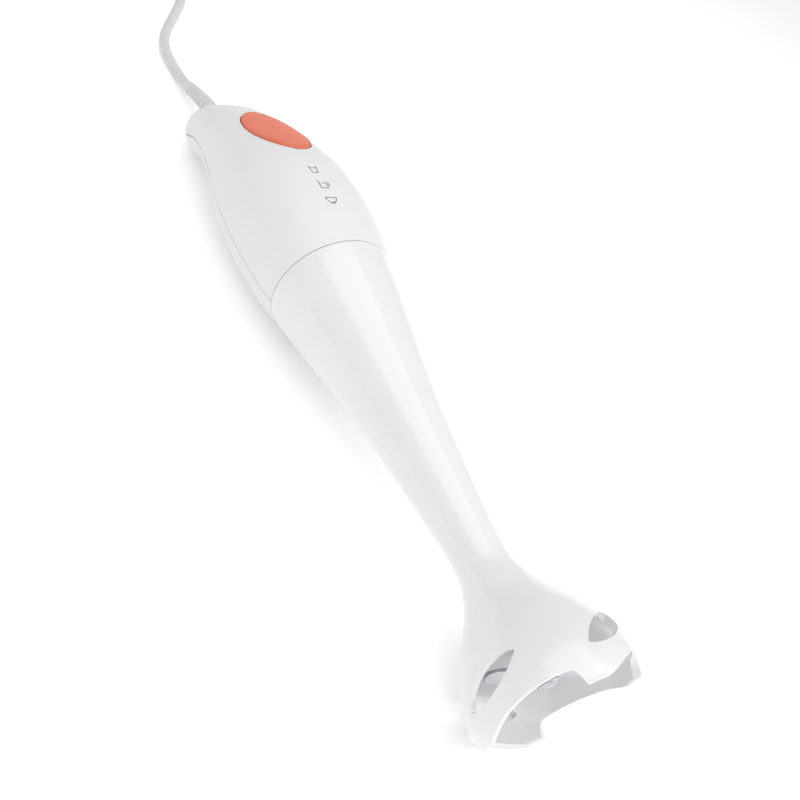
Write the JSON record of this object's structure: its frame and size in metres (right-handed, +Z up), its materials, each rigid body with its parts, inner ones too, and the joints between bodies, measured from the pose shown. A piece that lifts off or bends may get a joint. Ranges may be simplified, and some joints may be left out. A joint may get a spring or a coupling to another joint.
{
  "type": "immersion blender",
  "caption": "Corded stick blender with a flared handle, one oval push button, a long tapered leg and a slotted bell over a two-wing blade.",
  "frame": {"origin": "on the surface that the blender lies on, under the middle of its body", "axes": "+X along the body from the bell to the cord, +Z up through the button's side, +Y to the left seen from the bell"},
  "size_m": [0.698, 0.0919, 0.0649],
  "materials": {
    "gloss_white_plastic": "smooth glossy moulded white plastic",
    "matt_white_plastic": "finely textured moulded white plastic",
    "coral_button": "finely textured coral moulded plastic",
    "board_green": "glass-filled circuit board with green solder mask",
    "black_plastic": "moulded black plastic",
    "brown_plastic": "brown plastic",
    "blue_plastic": "blue plastic",
    "spring_steel": "drawn spring wire",
    "yellow_film": "yellow potted case",
    "copper": "varnished copper winding",
    "lamination": "stacked electrical steel sheets",
    "polished_steel": "ground steel",
    "blade_steel": "pressed and ground stainless steel",
    "brass": "plain brass and sintered bronze",
    "carbon": "pressed carbon",
    "black_rubber": "soft black rubber",
    "grey_pvc": "pale grey flexible plastic"
  },
  "bodies": {
    "body": {"brush_holder_1": "brass", "brush_holder_2": "brass", "brush_spring_1": "spring_steel", "brush_spring_2": "spring_steel", "button_spring": "spring_steel", "carbon_brush_1": "carbon", "carbon_brush_2": "carbon", "choke_coil_1": "copper", "choke_coil_2": "copper", "circuit_board": "board_green", "clamp_screw_1": "polished_steel", "clamp_screw_2": "polished_steel", "coil_tie": "black_plastic", "cord_clamp": "matt_white_plastic", "cord_coil": "grey_pvc", "field_coil_1": "copper", "field_coil_2": "copper", "field_core": "lamination", "front_shell": "matt_white_plastic", "fuse": "black_plastic", "housing_screw_1": "polished_steel", "housing_screw_2": "polished_steel", "inner_cord": "grey_pvc", "leg_housing": "gloss_white_plastic", "lower_bearing": "polished_steel", "lower_bracket": "polished_steel", "lower_bush": "brass", "lower_motor_mount": "black_rubber", "mains_wire_1": "brown_plastic", "mains_wire_2": "blue_plastic", "motor_lead_1": "brown_plastic", "motor_lead_2": "blue_plastic", "plug_body": "grey_pvc", "plug_lead": "grey_pvc", "plug_pin_1": "brass", "plug_pin_2": "brass", "power_cord": "grey_pvc", "rear_shell": "matt_white_plastic", "shaft_seal": "black_plastic", "strain_relief": "grey_pvc", "suppression_capacitor": "yellow_film", "switch_body": "black_plastic", "upper_bearing": "polished_steel", "upper_bracket": "black_plastic", "upper_bush": "brass", "upper_motor_mount": "black_rubber"},
    "button": {"button_cap": "coral_button"},
    "plunger": {"switch_plunger": "brown_plastic"},
    "drive": {"armature_core": "lamination", "armature_winding_lower": "copper", "armature_winding_upper": "copper", "commutator": "copper", "motor_shaft": "polished_steel", "cooling_fan": "black_plastic", "motor_coupling": "black_plastic", "shaft_coupling": "black_plastic", "drive_shaft": "polished_steel", "blade_hub": "black_plastic", "blade": "blade_steel", "blade_nut": "polished_steel"}
  },
  "joints": [
    {"name": "button_press", "type": "slide", "parent": "body", "child": "button", "axis": [-0.3173, 0, -0.9483], "range_m": [0, 0.0022], "stiffness_N_per_m": 900, "springref_m": -0.0015, "deforming": ["button_spring"]},
    {"name": "plunger_press", "type": "slide", "parent": "body", "child": "plunger", "axis": [-0.3173, 0, -0.9483], "range_m": [0, 0.0022]},
    {"name": "drive_spin", "type": "hinge", "parent": "body", "child": "drive", "pos_m": [0, 0, 0.0325], "axis": [1, 0, 0], "continuous": true}
  ],
  "couplings": [
    {"joint": "plunger_press", "follows": "button_press", "ratio": 1}
  ]
}
